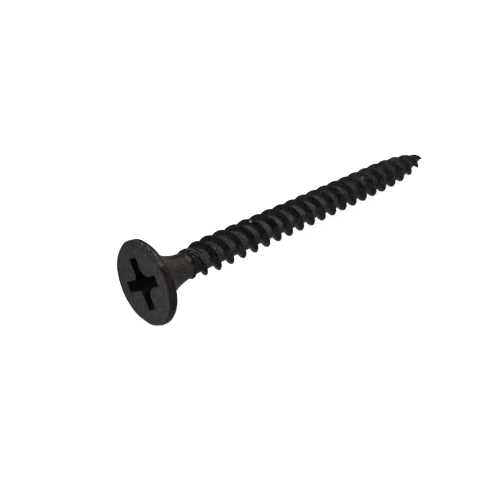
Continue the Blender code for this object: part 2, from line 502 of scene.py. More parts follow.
# %% [markdown]
# ## Node trees that read like formulas
# The thread follows a rule, so Geometry Nodes make it, and most of that tree is arithmetic. Placed by hand,
# each sum would be a node and three links. A small class does it here: adding or multiplying two of its
# values puts the Math node into the tree. The materials below use the same class.

# %% Numbers in a node tree
class Number:
    """A number in a node tree. Arithmetic on it adds Math nodes."""

    def __init__(self, tree, socket):
        self.tree = tree
        self.socket = socket

    def math(self, operation, *others):
        node = self.tree.nodes.new("ShaderNodeMath")
        node.operation = operation
        for socket, value in zip(node.inputs, (self, *others)):
            feed(self.tree, socket, value)
        return Number(self.tree, node.outputs[0])

    def __add__(self, other):
        return self.math("ADD", other)

    def __sub__(self, other):
        return self.math("SUBTRACT", other)

    def __mul__(self, other):
        return self.math("MULTIPLY", other)

    def __truediv__(self, other):
        return self.math("DIVIDE", other)

    def clamped(self):
        return self.math("MINIMUM", 1.0).math("MAXIMUM", 0.0)

    def smoothed(self):
        """Eases in and out between 0 and 1."""
        share = self.clamped()
        return share * share * (share * -2.0 + 3.0)

    def flipped(self):
        """One minus the number."""
        return self * -1.0 + 1.0


print("A number can be", ", ".join(name for name in vars(Number) if name.endswith("ed")))


# %% Nodes with what goes into them
def feed(tree, socket, value):
    """Gives a socket a number of the tree, another socket or a plain value."""
    if isinstance(value, Number):
        tree.links.new(value.socket, socket)
    elif isinstance(value, bpy.types.NodeSocket):
        tree.links.new(value, socket)
    else:
        socket.default_value = value


def add_node(tree, kind, settings=None, **inputs):
    """Adds a node with its settings and what goes into its named inputs."""
    node = tree.nodes.new(kind)
    for name, value in (settings or {}).items():
        setattr(node, name, value)
    for name, value in inputs.items():
        feed(tree, node.inputs[name.replace("_", " ")], value)
    return node


def contrasted(value, low, high):
    """Stretches a number so that low becomes 0 and high becomes 1, with eased ends."""
    return ((value - low) / (high - low)).smoothed()


# %% [markdown]
# ## The rolled thread
# Two ridges wind round the wire side by side, so one turn climbs two crest spacings. A Screw modifier could
# sweep a profile, but it can't let the ridges grow out of the neck or sink into the point. The tree below
# starts from a flat grid instead. Its columns go round the screw, and its rows climb with the helix, so
# each crest stays on a line of the mesh. Every corner is then put at its own radius, which is the root plus
# a share of the thread's height. Rows that would lie past either end gather on the neck or on the point,
# and merging removes them.

# %% Sizes of the thread
THREAD_SIZES = {
    "Thread start": THREAD_START,
    "Point": LENGTH,
    "Start radius": THREAD_START_DIAMETER / 2.0,
    "Root radius": 1.09 * MM,
    "Crest radius": 1.79 * MM,
    "Crest radius near point": 1.60 * MM,
    "Crest spacing": 1.61 * MM,
    "Turn": math.radians(195.4) / FULL_TURN,
    "Crest flat": 0.08 * MM,
    "Head side flank": 0.36 * MM,
    "Point side flank": 0.26 * MM,
    "Rounding": 0.22,
    "Run in": 1.9 * MM,
    "Root run in": 11.0 * MM,
    "Taper length": 8.0 * MM,
    "Point length": 4.2 * MM,
    "Point fullness": 0.85,
    "Swell": 0.29 * MM,
    "Swell length": 1.5 * MM,
    "Swell turn": 50.0 / 360.0,
    "Unevenness": 0.10,
    "Unevenness size": 1.4 * MM,
}
THREAD_COUNTS = {"Starts": 2, "Columns": COLUMNS, "Rows": 18}
print("One turn climbs", round(THREAD_SIZES["Crest spacing"] * THREAD_COUNTS["Starts"] / MM, 2), "mm")


# %% A tree with named inputs
def new_geometry_tree(name, floats, counts=None):
    """An empty geometry tree, and its inputs as numbers by name."""
    tree = bpy.data.node_groups.new(name, "GeometryNodeTree")
    tree.interface.new_socket("Geometry", in_out="INPUT", socket_type="NodeSocketGeometry")
    tree.interface.new_socket("Geometry", in_out="OUTPUT", socket_type="NodeSocketGeometry")
    for label in floats:
        tree.interface.new_socket(label, in_out="INPUT", socket_type="NodeSocketFloat")
    for label in counts or {}:
        tree.interface.new_socket(label, in_out="INPUT", socket_type="NodeSocketInt")
    entry = tree.nodes.new("NodeGroupInput")
    values = {socket.name: Number(tree, socket) for socket in entry.outputs if socket.name}
    return tree, values


def close_tree(tree, geometry):
    """Ends a tree: smooth shading, real geometry, and a place for the material."""
    smooth = add_node(tree, "GeometryNodeSetShadeSmooth", Geometry=geometry)
    real = add_node(tree, "GeometryNodeRealizeInstances", Geometry=smooth.outputs[0])
    finish = add_node(tree, "GeometryNodeSetMaterial", Geometry=real.outputs[0])
    leave = tree.nodes.new("NodeGroupOutput")
    tree.links.new(finish.outputs[0], leave.inputs["Geometry"])


def add_tree(obj, tree, values):
    """Puts the tree on the object and sets its inputs."""
    modifier = obj.modifiers.new(tree.name, "NODES")
    modifier.node_group = tree
    for item in tree.interface.items_tree:
        if item.in_out == "INPUT" and item.name in values:
            modifier[item.identifier] = values[item.name]
    print("Nodes in the tree", tree.name + ":", len(tree.nodes))


# %% [markdown]
# ### Rows and columns that climb
# Index divided by the columns gives the row, and the rest gives the column. A row's share of a crest
# spacing and a column's share of a turn then say how far along the screw a corner lies. The rows are pushed
# closer together on the crests, because the flanks need more of them than the valleys.

# %% Rows, columns and distances of the thread
ROW_CROWDING = 0.5
NUDGE = 1e-6
SNAP = 0.02 * MM


def thread_grid(tree, size):
    """The flat grid, with the share of a turn, the distance past a crest and the distance along the screw."""
    lead = size["Crest spacing"] * size["Starts"]
    earliest = size["Thread start"] - lead - size["Crest spacing"]
    first_crest = earliest - (earliest + lead * size["Turn"]).math("FLOORED_MODULO", size["Crest spacing"])
    pitches = ((size["Point"] - first_crest) / size["Crest spacing"]).math("CEIL") + 1.0
    grid = add_node(
        tree, "GeometryNodeMeshGrid", Vertices_X=pitches * size["Rows"], Vertices_Y=size["Columns"] + 1.0
    )
    index = Number(tree, tree.nodes.new("GeometryNodeInputIndex").outputs[0])
    row = (index / (size["Columns"] + 1.0) + NUDGE).math("FLOOR")
    column = index - row * (size["Columns"] + 1.0)
    turn = column / size["Columns"]
    pitch = (row / size["Rows"] + NUDGE).math("FLOOR")
    share = row / size["Rows"] - pitch - 0.5
    crowded = share - (share * FULL_TURN).math("SINE") * (ROW_CROWDING / FULL_TURN)
    past_crest = crowded * size["Crest spacing"]
    along = first_crest + pitch * size["Crest spacing"] + past_crest + lead * turn
    return grid.outputs["Mesh"], turn, past_crest, along


def gathered(along, size):
    """The distance along the screw, with what lies past either end moved to that end."""
    after_start = along.math("GREATER_THAN", size["Thread start"] + SNAP)
    before_point = along.math("LESS_THAN", size["Point"] - SNAP)
    held = size["Thread start"] + (along - size["Thread start"]) * after_start
    return size["Point"] + (held - size["Point"]) * before_point


print("Rows for each crest spacing:", THREAD_COUNTS["Rows"])

# %% [markdown]
# ### How high the metal stands
# The wire under the thread is squeezed thin near the head and sharpens into the point. The ridges grow out
# of the neck, lose a little height along the shank and sink into the wire before the tip. On one side the
# dies also pushed up a low swell behind the lip, and it hides the first valley there. Each of them is one
# smooth function of the distance along the screw, so the sizes can be changed without drawing anything
# again.

# %% Radii of the thread
SWELL_RISE = 0.12
SWELL_SIDE = (0.125, 0.75)


def root_and_crest(along, size):
    """The radius between the crests, and how far the crests stand above it, at a distance along the screw."""
    from_start = along - size["Thread start"]
    root = size["Start radius"] + (size["Root radius"] - size["Start radius"]) * (
        (from_start / size["Root run in"]).clamped()
    )
    to_point = ((size["Point"] - along) / size["Point length"]).clamped()
    root = root * to_point.math("POWER", size["Point fullness"])

    taper_start = size["Point"] - size["Taper length"]
    lost = (from_start / (taper_start - size["Thread start"])).clamped()
    full = size["Crest radius"] + (size["Crest radius near point"] - size["Crest radius"]) * lost
    into_taper = ((along - taper_start) / size["Taper length"]).clamped()
    full = full * (into_taper * into_taper).flipped().math("SQRT")
    height = (full - root).math("MAXIMUM", 0.0) * (from_start / size["Run in"]).smoothed()
    return root, height


def run_in_swell(along, turn, size):
    """Metal that the dies pushed up on one side, where the thread starts behind the lip."""
    from_start = along - size["Thread start"]
    risen = (from_start / (size["Swell length"] * SWELL_RISE)).smoothed()
    fallen = (from_start / size["Swell length"]).smoothed().flipped()
    side = ((turn - size["Swell turn"]) * FULL_TURN).math("COSINE")
    return size["Swell"] * risen * fallen * contrasted(side, *SWELL_SIDE)


def thread_form(past_crest, size):
    """Share of the thread's height at a distance past the crest: two flanks with eased corners."""
    half_flat = size["Crest flat"] * 0.5
    rising = (past_crest + half_flat + size["Head side flank"]) / size["Head side flank"]
    falling = (half_flat + size["Point side flank"] - past_crest) / size["Point side flank"]
    height = rising.math("MINIMUM", falling).math("SMOOTH_MIN", 1.0, size["Rounding"])
    return height.math("SMOOTH_MAX", 0.0, size["Rounding"])


full_height = THREAD_SIZES["Crest radius"] - THREAD_SIZES["Root radius"]
print("Full height of the thread:", round(full_height / MM, 2), "mm")

# %% [markdown]
# ### The thread as one tree
# The radii turn the flat grid into the wound surface. Three values are stored with it for the finish: that
# a place is thread, how near the crest it is, and how far past the crest it lies. Then the head that comes
# in is joined to it, and merging closes the seams at the neck, at the point and where the grid meets
# itself.

# %% Wind the grid round the screw
MERGE = 0.001 * MM


def wound_grid(tree, size):
    """The grid with every corner at its own radius, and the values to store with it."""
    mesh, turn, past_crest, along = thread_grid(tree, size)
    along = gathered(along, size)
    root, height = root_and_crest(along, size)
    form = thread_form(past_crest, size)
    angle = turn * FULL_TURN
    across, up = angle.math("COSINE"), angle.math("SINE")

    on_root = add_node(
        tree, "ShaderNodeCombineXYZ", X=along, Y=across * size["Root radius"], Z=up * size["Root radius"]
    )
    pattern = add_node(
        tree, "ShaderNodeTexNoise", Vector=on_root.outputs[0], Detail=1.0,
        Scale=size["Unevenness size"].math("POWER", -1.0),
    )
    uneven = (Number(tree, pattern.outputs[0]) - 0.5) * size["Unevenness"] + 1.0
    radius = (root + height * form * uneven).math("MAXIMUM", root + run_in_swell(along, turn, size))
    place = add_node(tree, "ShaderNodeCombineXYZ", X=along, Y=across * radius, Z=up * radius)
    wound = add_node(tree, "GeometryNodeSetPosition", Geometry=mesh, Position=place.outputs[0])
    return wound.outputs[0], {"thread": 1.0, "crest": form, "past_crest": past_crest / MM}


def thread_tree():
    """The thread, joined to the head that comes in."""
    tree, size = new_geometry_tree("rolled_thread", THREAD_SIZES, THREAD_COUNTS)
    marked, values = wound_grid(tree, size)
    for label, value in values.items():
        store = add_node(
            tree, "GeometryNodeStoreNamedAttribute", {"data_type": "FLOAT", "domain": "POINT"},
            Geometry=marked, Name=label, Value=value,
        )
        marked = store.outputs[0]
    joined = tree.nodes.new("GeometryNodeJoinGeometry")
    feed(tree, joined.inputs[0], marked)
    feed(tree, joined.inputs[0], size["Geometry"])
    merged = add_node(tree, "GeometryNodeMergeByDistance", Geometry=joined.outputs[0], Distance=MERGE)
    close_tree(tree, merged.outputs[0])
    return tree


add_tree(screw, thread_tree(), {**THREAD_SIZES, **THREAD_COUNTS})

# %% [markdown]
# ## The rough coat
# Phosphated steel isn't smooth: the wire, the dies and the crystals leave it slightly uneven, and the rim
# is the roughest place. Bump alone would leave the outline and the edges too clean, so a second tree sinks
# the surface along its normals by a little noise, deeper where the mesh carries its rim and edge zones.

# %% The tree of the rough coat
ROUGHNESS_SIZES = {
    "Depth": 0.012 * MM,
    "Rim depth": 0.040 * MM,
    "Grain": 0.30 * MM,
    "Seed": 4.0,
}
NOISE_FLOOR = 0.25
NOISE_GAIN = 1.6


def rough_tree():
    tree, size = new_geometry_tree("rough_coat", ROUGHNESS_SIZES)
    position = tree.nodes.new("GeometryNodeInputPosition")
    normal = tree.nodes.new("GeometryNodeInputNormal")
    pattern = add_node(
        tree, "ShaderNodeTexNoise", {"noise_dimensions": "4D"}, Vector=position.outputs[0], W=size["Seed"],
        Scale=size["Grain"].math("POWER", -1.0), Detail=2.0,
    )
    rim, edge = (
        Number(tree, add_node(tree, "GeometryNodeInputNamedAttribute", Name=name).outputs["Attribute"])
        for name in ("rim", "edge")
    )
    depth = size["Depth"] + size["Rim depth"] * rim.math("MAXIMUM", edge)
    sunk = depth * (Number(tree, pattern.outputs[0]) - NOISE_FLOOR) * -NOISE_GAIN
    offset = add_node(
        tree, "ShaderNodeVectorMath", {"operation": "SCALE"}, Vector=normal.outputs[0], Scale=sunk
    )
    moved = add_node(tree, "GeometryNodeSetPosition", Geometry=size["Geometry"], Offset=offset.outputs[0])
    close_tree(tree, moved.outputs[0])
    return tree


add_tree(screw, rough_tree(), ROUGHNESS_SIZES)

# %% [markdown]
# ### A plain mesh
# The export keeps meshes, not trees, so the evaluated result becomes the object's own mesh and the
# modifiers go. The normals are recalculated because the wound grid and the head were made apart. The count
# of open edges shows that the skin is closed. Only then is the mesh laid down on the floor, and the object
# stays unturned.

# %% Turn the result into a plain mesh and lay it down
def as_plain_mesh(obj):
    """Takes what the modifiers make as the object's own mesh, closed and with its faces outward."""
    graph = bpy.context.evaluated_depsgraph_get()
    made = bpy.data.meshes.new_from_object(obj.evaluated_get(graph), depsgraph=graph)
    obj.modifiers.clear()
    mesh = bmesh.new()
    mesh.from_mesh(made)
    bmesh.ops.dissolve_degenerate(mesh, edges=mesh.edges, dist=MERGE)
    bmesh.ops.recalc_face_normals(mesh, faces=mesh.faces)
    open_edges = sum(len(edge.link_faces) != 2 for edge in mesh.edges)
    triangles = sum(len(face.verts) - 2 for face in mesh.faces)
    mesh.to_mesh(made)
    mesh.free()
    obj.data = made
    print(obj.name, "has", triangles, "triangles and", open_edges, "open edges")


as_plain_mesh(screw)
screw.data.transform(LAY_DOWN)

# %% [markdown]
# ## The finish: black phosphate
# The bath leaves fine crystals that take up oil, so the steel is dark, dull and faintly blotchy. Where the
# dies rubbed and where screws knock together the coat is thinner and lighter. Oil and handling tint it
# olive, lilac and brown. An image would need unwrapping and would blur close up, so one procedural material
# does all of it. What could serve another black screw as well, such as the crystals, is a group of nodes
# with named inputs.

# %% Groups of shader nodes
def new_group(name, inputs, outputs):
    """A group of shader nodes with named inputs. An input without a value takes a place."""
    tree = bpy.data.node_groups.new(name, "ShaderNodeTree")
    for label, value in inputs.items():
        kind = "NodeSocketVector" if value is None else "NodeSocketFloat"
        socket = tree.interface.new_socket(label, in_out="INPUT", socket_type=kind)
        if value is not None:
            socket.default_value = value
    for label, kind in outputs.items():
        tree.interface.new_socket(label, in_out="OUTPUT", socket_type=kind)
    entry = tree.nodes.new("NodeGroupInput")
    leave = tree.nodes.new("NodeGroupOutput")
    return tree, {socket.name: socket for socket in entry.outputs if socket.name}, leave


def use_group(tree, group, **inputs):
    """Puts a group into a tree with its inputs, and returns its outputs by name."""
    node = tree.nodes.new("ShaderNodeGroup")
    node.node_tree = group
    for name, value in inputs.items():
        feed(tree, node.inputs[name], value)
    return {socket.name: Number(tree, socket) for socket in node.outputs}


def noise(tree, place, scale, detail, roughness):
    """Noise between 0 and 1, with its scale in cycles per millimetre."""
    node = add_node(
        tree, "ShaderNodeTexNoise", Vector=place, Scale=scale, Detail=detail, Roughness=roughness
    )
    return Number(tree, node.outputs[0])


# %% [markdown]
# ### Crystals
# Phosphate grows as crystals of a few hundredths of a millimetre, and the bath leaves it thicker in some
# patches than in others. Two noises of different sizes stand for the two. One would give grain without the
# blotches that a hand-sized view shows, or blotches without the grain.

# %% Crystals: fine grain and soft blotches
def crystal_group():
    """Fine crystals and wider blotches, both between 0 and 1."""
    tree, inputs, leave = new_group(
        "phosphate_crystals",
        {"Place": None, "Grain": 6.0, "Blotches": 1.5},
        {"Grain": "NodeSocketFloat", "Blotches": "NodeSocketFloat"},
    )
    grain = noise(tree, inputs["Place"], inputs["Grain"], detail=3.0, roughness=0.7)
    blotches = noise(tree, inputs["Place"], inputs["Blotches"], detail=3.0, roughness=0.55)
    feed(tree, leave.inputs["Grain"], contrasted(grain, low=0.32, high=0.68))
    feed(tree, leave.inputs["Blotches"], contrasted(blotches, low=0.35, high=0.65))
    return tree


CRYSTALS = crystal_group()
print("Nodes in the crystals:", len(CRYSTALS.nodes))

# %% [markdown]
# ### Streaks
# The dies drag over the wire and leave fine marks that run round it, and the wire has drawing marks that
# run along it. Both are the same noise on a place that is stretched more one way than the other, so one
# group with two inputs makes them.

# %% Streaks left by rolling and drawing
def streak_group():
    """Streaks between 0 and 1, long round the screw and short along it, or the other way round."""
    tree, inputs, leave = new_group(
        "rolled_streaks",
        {"Place": None, "Along": 3.0, "Around": 0.8},
        {"Streaks": "NodeSocketFloat"},
    )
    scale = add_node(
        tree, "ShaderNodeCombineXYZ", X=inputs["Along"], Y=inputs["Around"], Z=inputs["Around"]
    )
    stretched = add_node(tree, "ShaderNodeVectorMath", {"operation": "MULTIPLY"})
    feed(tree, stretched.inputs[0], inputs["Place"])
    feed(tree, stretched.inputs[1], scale.outputs[0])
    streaks = noise(tree, stretched.outputs[0], 1.0, detail=4.0, roughness=0.65)
    feed(tree, leave.inputs["Streaks"], contrasted(streaks, low=0.33, high=0.67))
    return tree


STREAKS = streak_group()
print("Nodes in the streaks:", len(STREAKS.nodes))

# %% [markdown]
# ### Stains
# The coat itself has almost no colour. Oil drifts over it between olive and lilac, and dries brown on worn
# places and green in hollows. The group mixes these tints around white, and the material multiplies them
# with the shade. Each tint is about as light as white, so a stain changes the colour and hardly the shade.

# %% Stains: olive, lilac, brown and green
WHITE = (1.0, 1.0, 1.0, 1.0)
OLIVE = (1.06, 1.00, 0.95, 1.0)
LILAC = (1.11, 0.95, 1.08, 1.0)
BROWN = (1.36, 0.91, 0.88, 1.0)
GREEN = (1.06, 1.01, 0.85, 1.0)
# Where the Mix node keeps its share, its two colours and its result
MIX_SHARE, MIX_FIRST, MIX_SECOND, MIX_RESULT = 0, 6, 7, 2


def mixed(tree, share, first, second, blend_type="MIX"):
    """Mixes two colours."""
    node = add_node(tree, "ShaderNodeMix", {"data_type": "RGBA", "blend_type": blend_type})
    feed(tree, node.inputs[MIX_SHARE], share)
    feed(tree, node.inputs[MIX_FIRST], first)
    feed(tree, node.inputs[MIX_SECOND], second)
    return node.outputs[MIX_RESULT]


def stain_group():
    """Tint of the coat: it drifts between olive and lilac, and is brown or green where it is told to be."""
    tree, inputs, leave = new_group(
        "oil_stain",
        {"Place": None, "Size": 0.55, "Brown": 0.0, "Green": 0.0, "Strength": 1.0},
        {"Tint": "NodeSocketColor"},
    )
    drift = noise(tree, inputs["Place"], inputs["Size"], detail=2.0, roughness=0.5)
    cool = mixed(tree, contrasted(drift, low=0.42, high=0.58), OLIVE, LILAC)
    cool = mixed(tree, inputs["Strength"], WHITE, cool)
    tint = mixed(tree, inputs["Brown"], mixed(tree, inputs["Green"], cool, GREEN), BROWN)
    feed(tree, leave.inputs["Tint"], tint)
    return tree


STAINS = stain_group()
print("Nodes in the stains:", len(STAINS.nodes))

# %% [markdown]
# ### Where a place is on the screw
# The coat differs from the face to the point and from the upper side to the lower one, so the material has
# to know where it is. An unwrapped map would have seams between the rings and the wound grid. Object
# coordinates have none: a Mapping node turns them back onto the screw's own axis, in millimetres, and the
# zones that are stored with the mesh say the rest. A side of the screw is named by an angle about the axis,
# as on the rim.

# %% Weights between 0 and 1
def past(value, limit, soft):
    """1 above a limit and 0 below it, with a soft change."""
    return contrasted(value, limit - soft, limit + soft)


def before(value, limit, soft):
    """1 below a limit and 0 above it, with a soft change."""
    return contrasted(value, limit + soft, limit - soft)


def window(value, start, end, soft):
    """1 between two values and 0 outside them, with soft ends."""
    return past(value, start, soft) * before(value, end, soft)


def ranging(share, low, high):
    """Goes from low to high with a share."""
    return share * (high - low) + low


def largest(first, *others):
    """The largest of several numbers."""
    for other in others:
        first = first.math("MAXIMUM", other)
    return first


# %% A place on the screw, and the patterns there
ROUND_STREAKS = {"Along": 4.0, "Around": 1.3}
LONG_STREAKS = {"Along": 0.8, "Around": 6.0}
SPECK_SCALE = 6.5
LEAST_RADIUS = 0.01
SPOT_SOFTNESS = 0.25


class Surface:
    """What the finish knows of a place: how far along and round the screw it is, and the patterns there."""

    def __init__(self, tree):
        self.tree = tree
        mapping = add_node(
            tree, "ShaderNodeMapping", {"vector_type": "TEXTURE"},
            Vector=tree.nodes.new("ShaderNodeTexCoord").outputs["Object"],
            Location=FACE_CENTRE, Rotation=(0.0, SLOPE, 0.0), Scale=(MM, MM, MM),
        )
        self.place = mapping.outputs[0]
        parts = add_node(tree, "ShaderNodeSeparateXYZ", Vector=self.place)
        self.along, self.across, self.up = (Number(tree, socket) for socket in parts.outputs)
        from_axis = (self.across * self.across + self.up * self.up).math("SQRT")
        self.radius = from_axis.math("MAXIMUM", LEAST_RADIUS)
        crystals = use_group(tree, CRYSTALS, Place=self.place)
        self.grain, self.blotches = crystals["Grain"], crystals["Blotches"]
        self.round_streaks = use_group(tree, STREAKS, Place=self.place, **ROUND_STREAKS)["Streaks"]
        self.long_streaks = use_group(tree, STREAKS, Place=self.place, **LONG_STREAKS)["Streaks"]
        specks = noise(tree, self.place, SPECK_SCALE, detail=3.0, roughness=0.7)
        self.specks = contrasted(specks, low=0.47, high=0.58)

    def zone(self, name):
        """What was stored with the mesh under that name."""
        attribute = add_node(self.tree, "ShaderNodeAttribute", {"attribute_name": name})
        return Number(self.tree, attribute.outputs["Fac"])

    def side(self, direction, full, gone):
        """1 on the side that faces a direction, as far round as full, and 0 past gone, all in degrees."""
        angle = math.radians(direction)
        turned = (self.across * math.cos(angle) + self.up * math.sin(angle)) / self.radius
        return contrasted(turned, math.cos(math.radians(gone)), math.cos(math.radians(full)))

    def patch(self, stretch, side):
        """1 on one stretch of the screw (start, end, softness, in mm) on one side of it."""
        return window(self.along, *stretch) * self.side(*side)

    def spot(self, middle, reach):
        """1 within a distance of a place and 0 well outside it."""
        apart = add_node(self.tree, "ShaderNodeVectorMath", {"operation": "DISTANCE"})
        feed(self.tree, apart.inputs[0], self.place)
        feed(self.tree, apart.inputs[1], middle)
        return before(Number(self.tree, apart.outputs["Value"]), reach, reach * SPOT_SOFTNESS)


print("Specks for each millimetre:", SPECK_SCALE)

# %% [markdown]
# ### Shade by zone
# All that follows builds one number, the shade: how much light the coat gives back, and in places painted
# light and painted shade as well, which each step names. The flat face has the smoothest coat and is the
# lightest, the flare and the neck are darker, and the recess is painted nearly black, painted shade for the
# shadow deep inside it. Each zone pulls the shade towards its own value by its weight, so soft borders come
# for free.

# %% Shade of the head
COAT = 0.010
# The recess value is painted shade for the shadow inside the recess, not the coat's own colour.
ZONE_SHADES = {"face": 0.0181, "flare": 0.0085, "neck": 0.0125, "recess": 0.0016}


def leaning(value, weight, target):
    """Moves a value towards a target by a weight."""
    return weight.flipped() * value + weight * target


def scaled(value, weight, factor):
    """Multiplies a value by a factor, by as much as the weight says."""
    return value * (weight * (factor - 1.0) + 1.0)


def zone_shade(here):
    shade = COAT
    for name, target in ZONE_SHADES.items():
        shade = leaning(shade, here.zone(name), target)
    return shade


print("Lightest zone:", max(ZONE_SHADES, key=ZONE_SHADES.get))

# %% [markdown]
# ### Shade of the thread
# Between two ridges the dies burnish the land behind each crest, and its light band is that burnish and, in
# part, a painted sheen under the overhead light. Just behind the crest the land starts darker, painted shade
# where the crest hides it. The flank that faces the head is dark, partly with its own coat and partly with
# painted shade from the crest before it, and the crest line is darkest. The land is painted darker on the
# upper side and the flank lighter on the lower front, painted shade and painted light for how the lamps fall
# on them. The pattern repeats with each pitch, so it is drawn over the distance past the crest that the
# thread's tree stored, and needs no counting of turns.

# %% Shade over one pitch
PITCH = THREAD_SIZES["Crest spacing"] / MM
LAND_START, LAND_START_SOFTNESS = 0.25, 0.20
LAND_END, LAND_END_SOFTNESS = 1.26, 0.07
LAND_END_STREAKS = 0.12
LAND_CUT_BELOW = 0.22
FLANK_START, FLANK_SOFTNESS = PITCH - 0.36, 0.06
TOPMOST, LOW_FRONT = (90.0, 0.0, 41.4), (168.0, 0.0, 21.6)
MIDDLE_STRETCH, MIDDLE_GAIN = (10.0, 22.0, 2.5), 0.16
FAR_STRETCH, FAR_GAIN = (27.0, 4.0), -0.36
# Painted sheen on the land, and painted shade that makes its upper side darker against the overhead light.
LAND_BURNISH_AND_SHEEN, LAND_PAINTED_SHADE_ABOVE = 0.016, 0.010
# Painted shade: the land starts darker just behind the crest, where the crest hides it.
LAND_PAINTED_SHADE_BEHIND_CREST, LAND_END_SHADE = 0.009, 0.007
# Painted shade on the flank from the crest before it, and painted light on its lower front.
FLANK_COAT_AND_SHADE, FLANK_PAINTED_LIGHT_BELOW = 0.0056, 0.0115
FLANK_GAIN_FAR = 0.0015
CREST_SHADE = 0.0045


def rolled_shade(here):
    """Shade over one pitch: a land behind each crest, burnished and painted with sheen, a flank dark with its
    coat and painted shade, and a darker crest line.
    """
    above, below = here.side(*TOPMOST), here.side(*LOW_FRONT)
    middle, far = window(here.along, *MIDDLE_STRETCH), past(here.along, *FAR_STRETCH)
    past_crest = here.zone("past_crest")
    behind = past_crest + past_crest.math("LESS_THAN", 0.0) * PITCH

    land = leaning(LAND_BURNISH_AND_SHEEN, above, LAND_PAINTED_SHADE_ABOVE) * (middle * MIDDLE_GAIN + far * FAR_GAIN + 1.0)
    shade = leaning(LAND_PAINTED_SHADE_BEHIND_CREST, past(behind, LAND_START, LAND_START_SOFTNESS), land)
    uneven = behind + here.round_streaks * LAND_END_STREAKS + below * LAND_CUT_BELOW
    shade = leaning(shade, past(uneven, LAND_END, LAND_END_SOFTNESS), LAND_END_SHADE)
    flank = leaning(FLANK_COAT_AND_SHADE, below, FLANK_PAINTED_LIGHT_BELOW) + far * FLANK_GAIN_FAR
    shade = leaning(shade, past(behind, FLANK_START, FLANK_SOFTNESS), flank)
    crest_line = contrasted(here.zone("crest"), low=0.7, high=1.0)
    return leaning(shade, crest_line * below.flipped(), CREST_SHADE)


print("The land takes", round((LAND_END - LAND_START) / PITCH, 2), "of a pitch")

# %% [markdown]
# ### Where the thread starts
# Here the dies stopped. The groove before the lip is painted dark, painted shade in the groove, and the lip's
# edge is painted light, a painted highlight. Behind it a stretch is darker, with streaks and specks, and on
# the upper side are a few slanted ridges that the dies pushed up. The ridges are painted light on top and
# dark between, painted highlight and painted shade, and they are bumped as well. The ridges are a cosine over
# a distance that grows round the screw, so they slant. Shade and bump both use them.

# %% Groove, lip and ridges
# Painted shade in the groove before the lip.
GROOVE, GROOVE_WEIGHT, GROOVE_PAINTED_SHADE = (5.0, 5.12, 0.04), 0.8, 0.0025
# Painted highlight on the edge of the lip.
LIP_LINE, LIP_PAINTED_HIGHLIGHT = (5.16, 5.26, 0.04), 0.009
RUN_IN, RUN_IN_SHADE = (5.32, 6.15, 0.06), 0.0015
RUN_IN_STREAKS, RUN_IN_SPECKS, RUN_IN_GRAIN = 0.002, 0.005, 0.003
RIDGED = (5.14, 6.05, 0.05), (92.0, 23.1, 43.9)
FIRST_RIDGE = 5.26
RIDGE_SPACING = 0.42
RIDGE_SLANT = 1.2
# Painted highlight on the tops of the ridges and painted shade between them.
RIDGE_PAINTED_LIGHT_AND_SHADE = (0.0015, 0.0215)


def start_ridges(here):
    """The slanted ridges, from 0 in the hollows to 1 on top, and where they are."""
    slanted = here.along + here.across / here.radius * RIDGE_SLANT
    wave = ((slanted - FIRST_RIDGE) * (FULL_TURN / RIDGE_SPACING)).math("COSINE")
    return contrasted(wave, low=-0.4, high=0.6), here.patch(*RIDGED)


def thread_start(here, shade, ridges, ridged):
    shade = leaning(shade, window(here.along, *GROOVE) * GROOVE_WEIGHT, GROOVE_PAINTED_SHADE)
    shade = leaning(shade, window(here.along, *LIP_LINE), LIP_PAINTED_HIGHLIGHT)
    dark_metal = here.long_streaks * RUN_IN_STREAKS + here.specks * RUN_IN_SPECKS
    dark_metal = dark_metal + here.grain * RUN_IN_GRAIN + RUN_IN_SHADE
    shade = leaning(shade, window(here.along, *RUN_IN), dark_metal)
    # The ridges get a painted highlight on top and painted shade between.
    return leaning(shade, ridged, ranging(ridges, *RIDGE_PAINTED_LIGHT_AND_SHADE))


print("Ridges where the thread starts:", round((RIDGED[0][1] - RIDGED[0][0]) / RIDGE_SPACING, 1))

# %% [markdown]
# ### The neck
# The neck is a plain bar, so its shade changes slowly: darker along the top, a painted highlight a little
# lighter in front, and darker again before the lip. Behind the lip the gap between the swell and the first
# crest is painted black, painted shade between them, and the first crests are speckled where the dies
# slipped.

# %% Shade of the neck
DARK_TOP, DARK_TOP_SHADE = ((1.2, 4.95, 0.35), (77.0, 14.1, 31.8)), 0.004
# Painted highlight: the front of the neck is painted lighter where the light falls on it.
NECK_PAINTED_HIGHLIGHT, NECK_HIGHLIGHT_FACTOR = ((1.6, 4.2, 0.5), (119.0, 11.5, 28.4)), 1.13
NECK_END_PATCH, NECK_END_FACTOR = ((4.5, 5.3, 0.12), (124.0, 16.3, 30.7)), 0.65
# Painted shade in the gap between the swell and the first crest.
GAP, GAP_PAINTED_SHADE = ((5.08, 5.72, 0.05), (52.0, 14.1, 23.1)), 0.002
FIRST_CRESTS, FIRST_CREST_FACTORS = (5.3, 8.5, 0.5), (0.6, 1.3)


def neck_shade(here, shade):
    shade = leaning(shade, here.patch(*DARK_TOP), DARK_TOP_SHADE)
    shade = scaled(shade, here.patch(*NECK_PAINTED_HIGHLIGHT), NECK_HIGHLIGHT_FACTOR)
    shade = scaled(shade, here.patch(*NECK_END_PATCH), NECK_END_FACTOR)
    shade = leaning(shade, here.patch(*GAP), GAP_PAINTED_SHADE)
    speckled = ranging(here.specks, *FIRST_CREST_FACTORS)
    return scaled(shade, window(here.along, *FIRST_CRESTS), speckled)


# The lighter front of the neck is a painted highlight.
print("The rubbed front of the neck is", round((NECK_HIGHLIGHT_FACTOR - 1.0) * 100.0), "% lighter")

